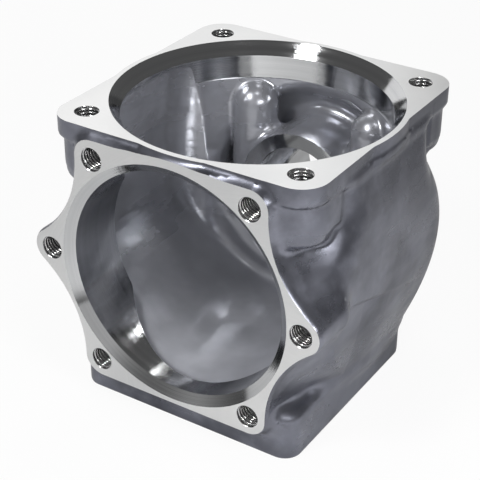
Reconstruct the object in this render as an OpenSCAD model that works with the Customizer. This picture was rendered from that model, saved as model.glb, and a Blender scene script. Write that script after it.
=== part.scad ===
// Cast and machined crankcase block of a small piston compressor.
// The frame stands on the foot: Z is up through the cylinder bore, the crank axis
// runs along Y, and the open front flange looks towards -Y.

/* [Overall] */
// Height from the foot to the top face
block_height = 130; // [122:1:145]
// Height of the crank axis above the foot
crank_height = 70; // [67:1:74]
// Distance from the cylinder axis to the front face
front_reach = 65; // [63:1:75]
// Distance from the cylinder axis to the rear wall
rear_reach = 62; // [61:1:70]
// Thickness of the cast side walls
wall = 6; // [4:0.5:8]

/* [Top flange] */
// Half the spacing of the four top bolts
top_bolt_half = 50; // [48:0.5:53]
// Radius of the corner lobes round the top bolts
top_lobe_radius = 12; // [9:0.5:13]
// Thickness of the top plate
top_plate = 9; // [7:0.5:12]
// Width of the rim left outside the cylinder mouth
top_rim = 2.4; // [2:0.1:3.5]
// Step in from the plate edge to the blocks under its corners
corner_step = 0.6; // [0.4:0.1:1.5]
// Radius of the outer corner of those blocks
corner_radius = 17; // [14:0.5:19]
// Distance from the top face to the bottom of the corner blocks
corner_block = 24; // [20:0.5:26]
// Radius of the boss round each top bolt, below the block
corner_boss_radius = 13; // [11:0.5:14]
// Distance from the top face to the bottom of the bosses
corner_boss = 28.5; // [27:0.5:34]
// Radius of the rounded edge at the bottom of the bosses
corner_boss_edge = 4; // [2:0.5:6]
// Distance from the cylinder axis to the inner end of the corner blocks, along each side
corner_inner = 35.5; // [32:0.5:38]

/* [Cylinder bore] */
// Radius of the cylinder mouth at the top face
mouth_radius = 61.4; // [60:0.1:62.5]
// Depth of the tapered lead-in
lead_in = 5.75; // [3:0.25:7]
// Radius of the turned register
register_radius = 57; // [55:0.5:58]
// Depth of the register below the top face
register_depth = 16.5; // [13:0.5:18]

/* [Front flange] */
// Distance of the two side bolts from the crank axis
side_bolt = 60.6; // [60:0.1:64]
// Sideways distance of the corner bolts from the crank axis
corner_bolt_x = 37; // [35:0.5:39]
// Upright distance of the corner bolts from the crank axis
corner_bolt_z = 48; // [47:0.5:49.5]
// Radius of the lobes round the front bolts
front_lobe_radius = 9; // [8:0.25:10]
// Radius of the hollows between the side and corner lobes
scallop_radius = 50; // [40:1:70]
// Depth of the lobed block behind the front face
front_block = 24; // [20:1:28]

/* [Front bore] */
// Radius of the turned front bore
front_bore_radius = 50.3; // [48:0.1:51]
// Width of the chamfer at its mouth
front_chamfer = 4; // [2:0.25:4.5]
// Depth of that chamfer
front_chamfer_depth = 3.2; // [2:0.1:4]

/* [Shell] */
// Half width of the shell at its widest
shell_half_width = 66.5; // [65.5:0.5:70]
// Radius of the gently curved shell sides, seen from the front
side_curve = 200; // [150:5:400]
// Drop from the top face to the widest part of the sides
widest_drop = 50; // [40:1:60]
// Widest radius of the globe that rounds the shell, about the cylinder axis
globe_radius = 81.5; // [80:0.5:84]
// Radius of the globe's curve, seen from the side
globe_curve = 72; // [68:0.5:76]
// Height of the globe's widest part above the foot
globe_height = 64; // [62:1:68]
// Radius of the round collar that joins the globe to the top plate
collar_radius = 62.6; // [61:0.2:64]
// Radius of the lower shell about the crank axis, at the neck behind the front flange
neck_radius = 57; // [56.5:0.5:58]
// Radius of the lower shell about the crank axis, at its fullest
belly_radius = 81; // [78:0.5:84]
// Distance behind the cylinder axis where the lower shell is fullest
belly_reach = 34; // [25:1:40]
// Height of the flat underside of the shell above the foot's sole
shell_bottom = 10; // [8:0.5:14]
// Half length of the side bulges under the top plate
bulge_half_length = 35.5; // [34:0.5:38]
// Radius of the upright edges of the side bulges
bulge_edge = 12; // [6:0.5:14]

/* [Foot] */
// Half width of the foot
foot_half_width = 54; // [50:0.5:58]
// Reach of the foot in front of the cylinder axis
foot_front = 57.5; // [54:0.5:60]
// Reach of the foot behind the cylinder axis
foot_rear = 44; // [40:0.5:52]
// Height of the foot
foot_height = 21; // [18:0.5:24]
// Radius of the foot's upright corners
foot_corner = 8; // [5:0.5:14]

/* [Chamber] */
// Distance from the cylinder axis to the flat inner faces round the front bore and the bearing
chamber_half_length = 35; // [33:0.5:37]
// Radius of the cast chamber just under the register
chamber_top_radius = 57.4; // [56:0.1:58]
// Radius of the cast chamber at its floor
chamber_floor_radius = 54; // [51:0.5:55]
// Height of the chamber floor above the foot's sole
floor_height = 17.5; // [14:0.5:19]
// Radius of the curved chamber floor, seen from the front, past the half width of the pockets
floor_spare = 1.5; // [1:0.5:5]
// Drop from the top face to the ledge over the flat rear wall
ledge_drop = 48; // [44:1:56]
// Distance that the side pockets reach in front of the cylinder axis
pocket_front = 35; // [32:0.5:37]
// Distance that the side pockets reach behind the cylinder axis
pocket_rear = 28.5; // [26:0.5:32]
// Drop from the top face to the roof of the side pockets
pocket_drop = 6; // [5:0.5:9]
// Radius of the curved outer wall of the pockets, seen from the front
pocket_curve = 290; // [240:5:600]
// Radius of the upright edges of the pockets
pocket_edge = 7; // [4:0.5:10]
// Radius of the round columns beside the bearing
column_radius = 10.5; // [9:0.25:12]
// Sideways distance of the columns from the cylinder axis
column_x = 30.5; // [29:0.5:33]
// Distance of the columns behind the cylinder axis
column_y = 48; // [46:0.5:50]
// Reach of the web behind each column, from the column's axis
column_web = 11; // [9:0.5:12]
// Gap between the register and the domed column tops
column_drop = 1.5; // [1:0.25:4]

/* [Rear bearing] */
// Radius of the bearing boss inside the rear wall
boss_radius = 27.5; // [26:0.5:31]
// Radius of the bearing seat
seat_radius = 21; // [19:0.25:22.5]
// Depth of the bearing seat
seat_depth = 16; // [12:0.5:18]
// Radius of the shaft hole behind the seat
shaft_hole_radius = 15; // [12:0.5:17]
// Radius of the dished recess round the boss
dish_radius = 40; // [38:0.5:43]
// Radius in the bottom corners of the dish
dish_fillet = 6; // [4:0.5:6.5]
// Metal behind the dish beyond the wall's own thickness
dish_wall = 1.5; // [1:0.5:4]
// Radius of the outer rear dome
dome_radius = 49; // [48:0.5:52]
// Distance from the cylinder axis to the rear face of the dome
dome_reach = 72; // [71:0.5:80]
// Radius of the rounded edge of the dome
dome_edge = 12; // [6:0.5:14]

/* [Tapped holes] */
// Radius of the tapped holes inside the thread
tapped_radius = 4.25; // [3.4:0.05:4.5]
// Radius of the countersunk hole mouths
hole_mouth = 5.1; // [4.8:0.05:5.6]
// Depth of the top holes
top_hole_depth = 24; // [18:0.5:26]
// Depth of the front holes
front_hole_depth = 20; // [16:0.5:22]

/* [Hidden] */
$fn = 96;
// Cuts run this far past the faces that they open
over = 1;
big = 400;
crank_drop = block_height - crank_height;
plate_base = block_height - top_plate;
plate_half = top_bolt_half + top_lobe_radius;
register_base = block_height - register_depth;
// The lower shell is a barrel about the crank axis: its profile is one arc that runs
// from the neck to the belly, so the arc's radius follows from the two.
neck_reach = front_reach - 8;
neck_run = neck_reach + belly_reach;
neck_rise = belly_radius - neck_radius;
belly_curve = (neck_run * neck_run + neck_rise * neck_rise) / (2 * neck_rise);
widest_height = block_height - widest_drop;
boss_place = plate_half - corner_step - corner_boss_radius - 1;
dish_depth = dome_reach - wall - dish_wall;
// The floor's curve is wider than the pockets, so it meets their walls low down
pocket_half = shell_half_width - wall;
floor_curve = pocket_half + floor_spare;
// Centre of the hollow between a side lobe and a corner lobe, at the same distance from both
lobe_mid = [(side_bolt + corner_bolt_x) / 2, corner_bolt_z / 2];
lobe_run = [corner_bolt_x - side_bolt, corner_bolt_z];
lobe_gap = norm(lobe_run);
scallop_reach = front_lobe_radius + scallop_radius;
scallop_out = sqrt(scallop_reach * scallop_reach - lobe_gap * lobe_gap / 4) / lobe_gap;
scallop_centre = lobe_mid + scallop_out * [lobe_run[1], -lobe_run[0]];
front_bolts = [
    [side_bolt, 0], [corner_bolt_x, corner_bolt_z], [-corner_bolt_x, corner_bolt_z],
    [-side_bolt, 0], [-corner_bolt_x, -corner_bolt_z], [corner_bolt_x, -corner_bolt_z]
];

// Turns a solid made along Z so that it runs along Y from the front to the rear
module along_crank() {
    translate([0, 0, crank_height]) rotate([-90, 0, 0]) children();
}

// Turns a flat outline seen from the front into a plate that starts at y and goes back
module front_plate(y, depth) {
    translate([0, y + depth, crank_height]) rotate([90, 0, 0]) linear_extrude(depth) children();
}

module four_corners(x, y) {
    for (side = [-1, 1], end = [-1, 1]) translate([side * x, end * y, 0]) children();
}

module both_sides() {
    children();
    mirror([1, 0, 0]) children();
}

module rounded_rectangle(half_x, y_front, y_rear, radius) {
    length = y_front + y_rear;
    translate([0, (y_rear - y_front) / 2]) {
        square([2 * (half_x - radius), length], center = true);
        square([2 * half_x, length - 2 * radius], center = true);
        for (x = [-1, 1], y = [-1, 1])
            translate([x * (half_x - radius), y * (length / 2 - radius)]) circle(radius);
    }
}

// Square plate with round corner lobes, swelled where the cylinder rim comes close to its sides
module top_outline(step = 0) {
    rounded_rectangle(plate_half - step, plate_half - step, plate_half - step, top_lobe_radius - step);
    circle(mouth_radius + top_rim - step);
}

// One quarter of the web between the side and corner lobes, ending in the hollow
module scallop_web() {
    difference() {
        polygon([[0, 0], [side_bolt, 0], scallop_centre, [corner_bolt_x, corner_bolt_z], [0, corner_bolt_z]]);
        translate(scallop_centre) circle(scallop_radius, $fn = 180);
    }
}

// Six-lobed outline of the front flange, about the crank axis
module front_outline() {
    for (x = [0, 1], z = [0, 1]) mirror([x, 0]) mirror([0, z]) scallop_web();
    for (bolt = front_bolts) translate(bolt) circle(front_lobe_radius);
    square([2 * corner_bolt_x, 2 * (corner_bolt_z + front_lobe_radius)], center = true);
}

// Slab whose two sides are gently curved, seen from the front, and widest under the globe
module curved_slab(half_width, curve, bottom, top, y_front, y_rear) {
    translate([0, y_rear, 0]) rotate([90, 0, 0]) linear_extrude(y_front + y_rear) intersection() {
        translate([half_width - curve, widest_height]) circle(curve, $fn = 360);
        translate([curve - half_width, widest_height]) circle(curve, $fn = 360);
        translate([-big / 2, bottom]) square([big, top - bottom]);
    }
}

// Lower shell: a barrel about the crank axis that swells from the neck to the belly
module belly() {
    along_crank() rotate_extrude() intersection() {
        translate([belly_radius - belly_curve, belly_reach]) circle(belly_curve, $fn = 360);
        translate([0, -neck_reach]) square([big / 2, neck_reach + rear_reach]);
    }
}

module globe() {
    rotate_extrude() intersection() {
        translate([globe_radius - globe_curve, globe_height]) circle(globe_curve, $fn = 360);
        square(big);
    }
}

// The globe rounds the whole shell, and the barrel trims it below the crank axis
module shell() {
    intersection() {
        globe();
        curved_slab(shell_half_width, side_curve, shell_bottom, plate_base + over, neck_reach, rear_reach);
        union() {
            belly();
            translate([-big / 2, -big / 2, crank_height]) cube(big);
        }
    }
}

// Round collar behind the register, between the globe and the top plate
module collar() {
    translate([0, 0, block_height - corner_block - over])
        cylinder(r = collar_radius, h = corner_block - top_plate + 2 * over);
}

// Side bulges that stand out under the plate between the corner blocks
module side_bulges() {
    intersection() {
        curved_slab(shell_half_width, side_curve, crank_height, plate_base + over,
            bulge_half_length, bulge_half_length);
        linear_extrude(block_height)
            rounded_rectangle(shell_half_width + over, bulge_half_length, bulge_half_length, bulge_edge);
    }
}

// Solid blocks under the plate corners, which carry the bolt bosses
module corner_blocks() {
    reach = plate_half - corner_step;
    height = corner_block - top_plate + over;
    translate([0, 0, block_height - corner_block]) linear_extrude(height) intersection() {
        rounded_rectangle(reach, reach, reach, corner_radius);
        four_corners(plate_half, plate_half) square(2 * (plate_half - corner_inner), center = true);
    }
}

// Round boss with a rounded lower edge, under each plate corner
module corner_bosses() {
    radius = corner_boss_radius;
    edge = corner_boss_edge;
    height = corner_boss - top_plate + over;
    four_corners(boss_place, boss_place) translate([0, 0, block_height - corner_boss]) {
        translate([0, 0, edge]) cylinder(r = radius, h = height - edge);
        rotate_extrude() {
            square([radius - edge, edge]);
            translate([radius - edge, edge]) intersection() {
                circle(edge);
                translate([0, -edge]) square(edge);
            }
        }
    }
}

module front_lobed_block() {
    front_plate(-front_reach, front_block) front_outline();
    both_sides() translate([side_bolt, front_block - front_reach, crank_height]) sphere(front_lobe_radius);
}

module foot() {
    linear_extrude(foot_height) rounded_rectangle(foot_half_width, foot_front, foot_rear, foot_corner);
}

module rear_dome() {
    along_crank() {
        cylinder(r = dome_radius, h = dome_reach - dome_edge);
        cylinder(r = dome_radius - dome_edge, h = dome_reach);
        translate([0, 0, dome_reach - dome_edge]) rotate_extrude()
            translate([dome_radius - dome_edge, 0]) intersection() {
                circle(dome_edge);
                square(dome_edge);
            }
    }
}

// Tapered well under the register, with a flat rear wall below the ledge
module well() {
    height = register_base - floor_height;
    intersection() {
        translate([0, 0, floor_height])
            cylinder(r1 = chamber_floor_radius, r2 = chamber_top_radius, h = height + over);
        union() {
            translate([-big / 2, chamber_half_length - big, 0]) cube(big);
            translate([-big / 2, -big / 2, block_height - ledge_drop]) cube(big);
        }
    }
}

// Side pockets inside the bulges, which break through the turned register
module pockets() {
    intersection() {
        curved_slab(pocket_half, pocket_curve, 0, block_height - pocket_drop, pocket_front, pocket_rear);
        linear_extrude(block_height)
            rounded_rectangle(pocket_half + over, pocket_front, pocket_rear, pocket_edge);
    }
}

// The whole cast chamber. Its floor curves up at both sides, about an axis along the crank.
module chamber() {
    intersection() {
        union() {
            well();
            pockets();
        }
        translate([0, 0, floor_height + floor_curve]) union() {
            rotate([90, 0, 0]) cylinder(r = floor_curve, h = big, center = true, $fn = 180);
            translate([-big / 2, -big / 2, 0]) cube(big);
        }
    }
}

// Dished recess round the bearing boss, turned about the crank axis
module dish() {
    along_crank() rotate_extrude() difference() {
        union() {
            square([dish_radius, dish_depth - dish_fillet]);
            square([dish_radius - dish_fillet, dish_depth]);
            translate([dish_radius - dish_fillet, dish_depth - dish_fillet]) circle(dish_fillet);
        }
        translate([0, chamber_half_length]) square([boss_radius, dish_depth]);
        translate([boss_radius, dish_depth - dish_fillet]) difference() {
            square([dish_fillet, dish_fillet + over]);
            translate([dish_fillet, 0]) circle(dish_fillet);
        }
    }
}

// Round columns with domed tops, each joined to the wall behind it by a web
module columns() {
    foot_z = crank_height - dish_radius - over;
    height = register_base - column_drop - column_radius - foot_z;
    both_sides() translate([column_x, column_y, foot_z]) {
        cylinder(r = column_radius, h = height);
        translate([0, 0, height]) sphere(column_radius);
        rotate([0, 0, atan2(column_y, column_x)])
            translate([0, -0.7 * column_radius, 0]) cube([column_web, 1.4 * column_radius, height]);
    }
}

// Round boss of the rear bearing, which stands forward of the rear wall
module bearing_boss() {
    along_crank() translate([0, 0, chamber_half_length]) cylinder(r = boss_radius, h = rear_reach - chamber_half_length);
}

module cylinder_bore() {
    translate([0, 0, register_base]) cylinder(r = register_radius, h = register_depth + over);
    translate([0, 0, block_height - lead_in])
        cylinder(r1 = register_radius, r2 = mouth_radius, h = lead_in);
    translate([0, 0, block_height]) cylinder(r = mouth_radius, h = over);
}

module front_bore() {
    translate([0, -front_reach, 0]) along_crank() {
        cylinder(r = front_bore_radius, h = front_reach - chamber_half_length);
        cylinder(r1 = front_bore_radius + front_chamfer, r2 = front_bore_radius, h = front_chamfer_depth);
        translate([0, 0, -over]) cylinder(r = front_bore_radius + front_chamfer, h = over);
    }
}

module bearing_bore() {
    along_crank() {
        translate([0, 0, chamber_half_length - over]) cylinder(r = seat_radius, h = seat_depth + over);
        cylinder(r = shaft_hole_radius, h = dome_reach + over);
    }
}

// A tapped hole that opens at the origin and goes down, with its countersink
module tapped_hole(depth) {
    sink = hole_mouth - tapped_radius;
    translate([0, 0, -depth]) cylinder(r = tapped_radius, h = depth + over);
    translate([0, 0, -sink]) cylinder(r1 = tapped_radius, r2 = hole_mouth, h = sink);
    translate([0, 0, -depth - tapped_radius / 2]) cylinder(r1 = 0, r2 = tapped_radius, h = tapped_radius / 2);
}

module tapped_holes() {
    translate([0, 0, block_height]) four_corners(top_bolt_half, top_bolt_half) tapped_hole(top_hole_depth);
    for (bolt = front_bolts) translate([bolt[0], -front_reach, crank_height + bolt[1]])
        rotate([90, 0, 0]) tapped_hole(front_hole_depth);
}

module block() {
    color("silver") difference() {
        union() {
            difference() {
                union() {
                    shell();
                    collar();
                    side_bulges();
                    corner_blocks();
                    corner_bosses();
                    translate([0, 0, plate_base]) linear_extrude(top_plate) top_outline();
                    front_lobed_block();
                    foot();
                    rear_dome();
                }
                chamber();
                dish();
            }
            columns();
            bearing_boss();
        }
        cylinder_bore();
        front_bore();
        bearing_bore();
        tapped_holes();
    }
}

block();
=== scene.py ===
# %% [markdown]
# # A cast compressor block, dressed in Blender
#
# The real object is one aluminium casting: a rounded crankcase with a square
# flange on top for the cylinder, a six-lobed flange in front for the bearing
# cover, and a bearing seat in its rear wall. The CAD frame holds its sizes.
# Here the same casting gets what a foundry and a machine shop leave on it:
# soft fillets and a glossy, blotchy skin, then milled faces, turned bores and
# real threads with crisp edges. Nothing on it moves, so it all rides on "root".

# %% Load the frame
import math

import bmesh
import bpy
import numpy as np
from mathutils import Matrix, Vector


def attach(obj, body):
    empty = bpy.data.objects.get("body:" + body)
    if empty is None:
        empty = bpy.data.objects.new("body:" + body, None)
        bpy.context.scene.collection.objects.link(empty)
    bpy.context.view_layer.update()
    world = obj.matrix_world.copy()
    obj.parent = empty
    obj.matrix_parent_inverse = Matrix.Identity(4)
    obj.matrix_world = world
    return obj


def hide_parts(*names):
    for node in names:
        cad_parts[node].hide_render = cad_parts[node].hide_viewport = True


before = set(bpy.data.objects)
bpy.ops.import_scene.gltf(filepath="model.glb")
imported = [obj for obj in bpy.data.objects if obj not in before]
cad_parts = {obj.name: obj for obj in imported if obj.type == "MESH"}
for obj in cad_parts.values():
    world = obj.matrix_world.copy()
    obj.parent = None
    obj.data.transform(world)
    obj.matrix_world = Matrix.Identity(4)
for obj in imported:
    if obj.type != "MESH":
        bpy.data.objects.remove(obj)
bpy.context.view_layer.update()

# %% [markdown]
# ## Sizes
#
# The sizes are in millimetres, because a pattern maker thinks in millimetres,
# and the mesh is scaled to metres when it is made. Z runs up the cylinder axis
# and Y along the crank axis, towards the back. Later cells add their own sizes.

# %% Main sizes
BLOCK_HEIGHT, CRANK_HEIGHT = 130.0, 70.0
FRONT_REACH, REAR_REACH = 65.0, 62.0  # from the cylinder axis to the front and rear walls
CHAMBER_HALF = 35.0  # from the cylinder axis to the end of the front bore, and to the boss
STOCK = 2.5  # metal that the casting has over its machined faces
OVERLAP = 1.0  # how far a form runs into its neighbour, so that no gap is left
print("block:", BLOCK_HEIGHT, "mm high, crank axis at", CRANK_HEIGHT, "mm")

# %% [markdown]
# ## A casting as a field of distances
#
# A cast part has no sharp inner corner: where two forms meet, the pattern maker
# puts a fillet so that the metal flows. Bevels on a mesh can't follow forms that
# cross at every angle, so the casting is written as a field instead: a function
# that says how far a point is from the surface, negative inside. Two fields
# join with a true fillet of a stated radius, or trim each other with a round
# edge, in one line each.


# %% Field helpers
def join(a, b, fillet):
    """Both forms, with a fillet where they meet."""
    corner = np.hypot(np.maximum(fillet - a, 0), np.maximum(fillet - b, 0))
    return np.maximum(fillet, np.minimum(a, b)) - corner


def trim(a, b, edge):
    """What both forms share, with a round edge."""
    return -join(-a, -b, edge)


def carve(a, hollow, edge):
    """The first form without the second, with a round rim."""
    return trim(a, -hollow, edge)


def soften(a, b, width):
    """What both forms share where they meet at a shallow angle: the crease is worn by width / 4."""
    near = np.maximum(width - np.abs(a - b), 0) / width
    return np.maximum(a, b) + near * near * width / 4


print("a 4 mm fillet fills a corner by", round(float(-join(0.0, 0.0, 4)), 2), "mm")


# %% [markdown]
# ## Plain forms
#
# Most forms of the casting are cut from two plain ones: a slab between two
# planes, and a rectangle with round corners. A rule measures what they make.


# %% Plain forms, and a rule to measure them with
def span(t, low, high):
    return np.maximum(low - t, t - high)


def rounded_rectangle(u, v, half_u, half_v, radius):
    a, b = np.abs(u) - half_u + radius, np.abs(v) - half_v + radius
    past_corner = np.hypot(np.maximum(a, 0), np.maximum(b, 0))
    return past_corner + np.minimum(np.maximum(a, b), 0) - radius


def reach(form, start, direction):
    """How far a form goes from a point inside it, in one direction."""
    steps = np.arange(0, 150, 0.05)
    line = [s + steps * d for s, d in zip(start, direction)]
    return round(float(steps[np.argmax(form(*line) > 0)]), 1)


lost = float(rounded_rectangle(62, 62, 62, 62, 12))
print("a 12 mm radius takes", round(lost, 2), "mm off a square corner")

# %% [markdown]
# ## The crankcase shell
#
# The shell is the thin wall that holds the crank and its oil. It is a globe
# about the cylinder axis, filled out to the corners above the crank, with two
# flat sides that bow a little. Below a sloping seam a barrel about the crank
# axis draws it in towards the front neck, and the wall steps in by up to 2 mm.
# A sculpted subdivision mesh could follow it too, but each fillet would then be
# a matter of luck.

# %% The crankcase shell
SHELL_HALF, WIDEST_HEIGHT, SIDE_CURVE, SHELL_BOTTOM = 66.5, 80.0, 200.0, 10.0
GLOBE_RADIUS, GLOBE_CURVE, GLOBE_HEIGHT = 81.5, 72.0, 64.0
BELLY_RADIUS, BELLY_CURVE, BELLY_REACH, NECK_REACH = 81.0, 184.5, 34.0, 57.0
BULGE_REAR, BULGE_EDGE, BULGE_FRONT, BULGE_SHOULDER, BULGE_FILLET = 35.5, 12.0, 45.0, 30.0, 4
SHOULDER_REACH, SHOULDER_RADIUS = 62.0, 32.0
SEAM_HEIGHT, SEAM_FALL, SEAM_FILLET = 57.2, 0.31, 1.5
LIP_STEP, LIP_START, LIP_RUN = 2, 2, 20
SIDE_CREASE, SEAM_CREASE, SHOULDER_CREASE, END_CREASE, SOLE_EDGE = 4, 1, 3, 4, 3
PLATE_THICK = 9.0


def upper_shell(x, y, z):
    globe = np.hypot(np.hypot(x, y) - (GLOBE_RADIUS - GLOBE_CURVE), z - GLOBE_HEIGHT) - GLOBE_CURVE
    half = SHELL_HALF + OVERLAP
    bulge = np.maximum(
        rounded_rectangle(x, np.maximum(y, 0), half, BULGE_REAR, BULGE_EDGE),
        rounded_rectangle(x, np.minimum(y, 0), half, BULGE_FRONT, BULGE_SHOULDER),
    )
    return join(globe, np.maximum(bulge, CRANK_HEIGHT - z), BULGE_FILLET)


def barrel_under_seam(x, y, z, sides):
    crank = np.hypot(x, z - CRANK_HEIGHT)
    barrel = np.hypot(crank + BELLY_CURVE - BELLY_RADIUS, y - BELLY_REACH) - BELLY_CURVE
    barrel = np.maximum(barrel, sides + LIP_STEP * np.clip((LIP_START - y) / LIP_RUN, 0, 1))
    return join(barrel, SEAM_HEIGHT - SEAM_FALL * y - z, SEAM_FILLET)


def shell(x, y, z):
    sides = np.hypot(np.abs(x) + SIDE_CURVE - SHELL_HALF, z - WIDEST_HEIGHT) - SIDE_CURVE
    body = soften(upper_shell(x, y, z), sides, SIDE_CREASE)
    body = soften(body, barrel_under_seam(x, y, z, sides), SEAM_CREASE)
    half = SHELL_HALF + OVERLAP
    shoulder = rounded_rectangle(x, np.minimum(y, 0), half, SHOULDER_REACH, SHOULDER_RADIUS)
    body = soften(body, shoulder, SHOULDER_CREASE)
    body = trim(body, SHELL_BOTTOM - z, SOLE_EDGE)
    ends = span(y, -NECK_REACH, REAR_REACH)
    return soften(body, np.maximum(ends, z - BLOCK_HEIGHT + PLATE_THICK - OVERLAP), END_CREASE)


print("shell: half width", reach(shell, (0, 0, WIDEST_HEIGHT), (1, 0, 0)), "mm at its widest")

# %% [markdown]
# ## The top flange
#
# The cylinder is bolted to a flat plate. Under each of its corners the plate is
# thicker, and a short round boss hangs below that, because the bolt needs metal
# round its thread. A stack of bevelled boxes would leave seams. Fields join.

# %% The plate, its corner blocks and bosses
PLATE_HALF, PLATE_RADIUS, PLATE_ROUND, PLATE_EDGE = 62.0, 12.0, 63.8, 1.6
BLOCK_HALF, BLOCK_RADIUS, BLOCK_DROP, BLOCK_INNER = 61.4, 17.0, 24.0, 35.5
BLOCK_INNER_EDGE, BLOCK_EDGE = 4, 3
BOSS_PLACE, BOSS_RADIUS, BOSS_DROP, BOSS_EDGE = 47.4, 13.0, 28.5, 4.0
BOSS_FILLET, PLATE_FILLET = 2, 1


def top_flange(x, y, z):
    across, along = np.abs(x), np.abs(y)
    outline = rounded_rectangle(x, y, PLATE_HALF, PLATE_HALF, PLATE_RADIUS)
    outline = np.minimum(outline, np.hypot(x, y) - PLATE_ROUND)
    plate = trim(outline, span(z, BLOCK_HEIGHT - PLATE_THICK, BLOCK_HEIGHT + STOCK), PLATE_EDGE)
    corners = rounded_rectangle(x, y, BLOCK_HALF, BLOCK_HALF, BLOCK_RADIUS)
    inner = trim(BLOCK_INNER - across, BLOCK_INNER - along, BLOCK_INNER_EDGE)
    blocks = trim(corners, inner, BLOCK_INNER_EDGE)
    blocks = trim(blocks, span(z, BLOCK_HEIGHT - BLOCK_DROP, BLOCK_HEIGHT), BLOCK_EDGE)
    pillar = np.hypot(across - BOSS_PLACE, along - BOSS_PLACE) - BOSS_RADIUS
    bosses = trim(pillar, span(z, BLOCK_HEIGHT - BOSS_DROP, BLOCK_HEIGHT), BOSS_EDGE)
    return join(plate, join(blocks, bosses, BOSS_FILLET), PLATE_FILLET)


in_plate = (0, 0, BLOCK_HEIGHT - PLATE_THICK / 2)
print("plate:", reach(top_flange, in_plate, (1, 0, 0)), "mm to its side")

# %% [markdown]
# ## The lobed front block
#
# Six screws hold the front cover, and each sits in a lobe of its own. Between
# two lobes the foundry saves metal with a scallop, a circle whose centre lies
# outside the block. The outline could be traced as a curve with many handles.
# Written as lobes, webs and scallops it takes its shape from the bolt pattern.

# %% The lobed front block
SIDE_BOLT, CORNER_BOLT_X, CORNER_BOLT_Z, LOBE_RADIUS = 60.6, 37.0, 48.0, 9.0
SCALLOP_RADIUS, SCALLOP_X, SCALLOP_Z = 50.0, 95.99, 47.20
FRONT_BLOCK, FRONT_BLOCK_EDGE = 24.0, 5


def front_lobes(x, y, z):
    u, v = np.abs(x), np.abs(z - CRANK_HEIGHT)
    scallop = SCALLOP_RADIUS - np.hypot(u - SCALLOP_X, v - SCALLOP_Z)
    out = SCALLOP_X - SIDE_BOLT
    below = ((u - SIDE_BOLT) * SCALLOP_Z - v * out) / math.hypot(out, SCALLOP_Z)
    web = np.maximum(np.maximum(scallop, below), v - CORNER_BOLT_Z)
    side_lobe = np.hypot(u - SIDE_BOLT, v)
    corner_lobe = np.hypot(u - CORNER_BOLT_X, v - CORNER_BOLT_Z)
    lobes = np.minimum(side_lobe, corner_lobe) - LOBE_RADIUS
    middle = np.maximum(u - CORNER_BOLT_X, v - CORNER_BOLT_Z - LOBE_RADIUS)
    outline = np.minimum(np.minimum(web, lobes), middle)
    depth = span(y, -FRONT_REACH - STOCK, FRONT_BLOCK - FRONT_REACH)
    return trim(outline, depth, FRONT_BLOCK_EDGE)


in_front = (0, FRONT_BLOCK / 2 - FRONT_REACH, CRANK_HEIGHT)
print("front block:", reach(front_lobes, in_front, (1, 0, 0)), "mm to the tip of its side lobe")

# %% [markdown]
# ## The foot, the rear dome and the whole outside
#
# The block stands on a plain rectangular foot. The photograph doesn't show the
# outside of the rear wall, so a plain round dome closes it, as deep as the dish
# inside needs. A collar under the plate fills what the globe leaves open there.

# %% The foot, the rear dome and the whole outside
FOOT_HALF, FOOT_FRONT, FOOT_REAR, FOOT_HEIGHT = 54.0, 57.5, 44.0, 21.0
FOOT_CORNER, FOOT_EDGE = 8.0, 3.5
DOME_RADIUS, DOME_REACH, DOME_EDGE = 49.0, 72.0, 12.0
COLLAR_RADIUS = 62.6
COLLAR_FILLET, FOOT_FILLET, DOME_FILLET, FRONT_FILLET, FLANGE_FILLET = 1, 6, 9, 8, 4


def foot(x, y, z):
    middle, half = (FOOT_REAR - FOOT_FRONT) / 2, (FOOT_REAR + FOOT_FRONT) / 2
    outline = rounded_rectangle(x, y - middle, FOOT_HALF, half, FOOT_CORNER)
    return trim(outline, span(z, -STOCK, FOOT_HEIGHT), FOOT_EDGE)


def rear_dome(x, y, z):
    crank = np.hypot(x, z - CRANK_HEIGHT) - DOME_RADIUS
    return trim(crank, span(y, 0, DOME_REACH), DOME_EDGE)


def collar(x, y, z):
    low, high = BLOCK_HEIGHT - BLOCK_DROP - OVERLAP, BLOCK_HEIGHT - PLATE_THICK + OVERLAP
    return np.maximum(np.hypot(x, y) - COLLAR_RADIUS, span(z, low, high))


def outside(x, y, z):
    body = join(shell(x, y, z), collar(x, y, z), COLLAR_FILLET)
    body = join(body, foot(x, y, z), FOOT_FILLET)
    body = join(body, rear_dome(x, y, z), DOME_FILLET)
    body = join(body, front_lobes(x, y, z), FRONT_FILLET)
    return join(body, top_flange(x, y, z), FLANGE_FILLET)


print("outside:", reach(outside, (0, 0, CRANK_HEIGHT), (0, 1, 0)), "mm to the rear")

# %% [markdown]
# ## The chamber
#
# A sand core leaves the chamber: a tapered well under the cylinder, a pocket at
# each side for the counterweight, and a floor that curves up at both sides. Its
# edges are rounded too, each by a radius of its own. A thin ring of stock stays
# at the top for the boring bar. Cut square, the pockets would look like boxes.

# %% The chamber
REGISTER_RADIUS, REGISTER_DEPTH = 57.0, 16.5
CHAMBER_TOP, CHAMBER_LOW = 56.6, 54.0
FLOOR_HEIGHT, FLOOR_CURVE, LEDGE_HEIGHT = 17.5, 62.0, 82.0
POCKET_HALF, POCKET_CURVE, POCKET_ROOF = 60.5, 290.0, 124.0
POCKET_FRONT, POCKET_REAR = 35.0, 32.0
POCKET_FRONT_EDGE, POCKET_REAR_EDGE, POCKET_ROOF_EDGE = 5, 22.0, 3
LEDGE_FILLET, WELL_EDGE, POCKET_FILLET, FLOOR_CREASE = 6, 5, 0.6, 5


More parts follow.
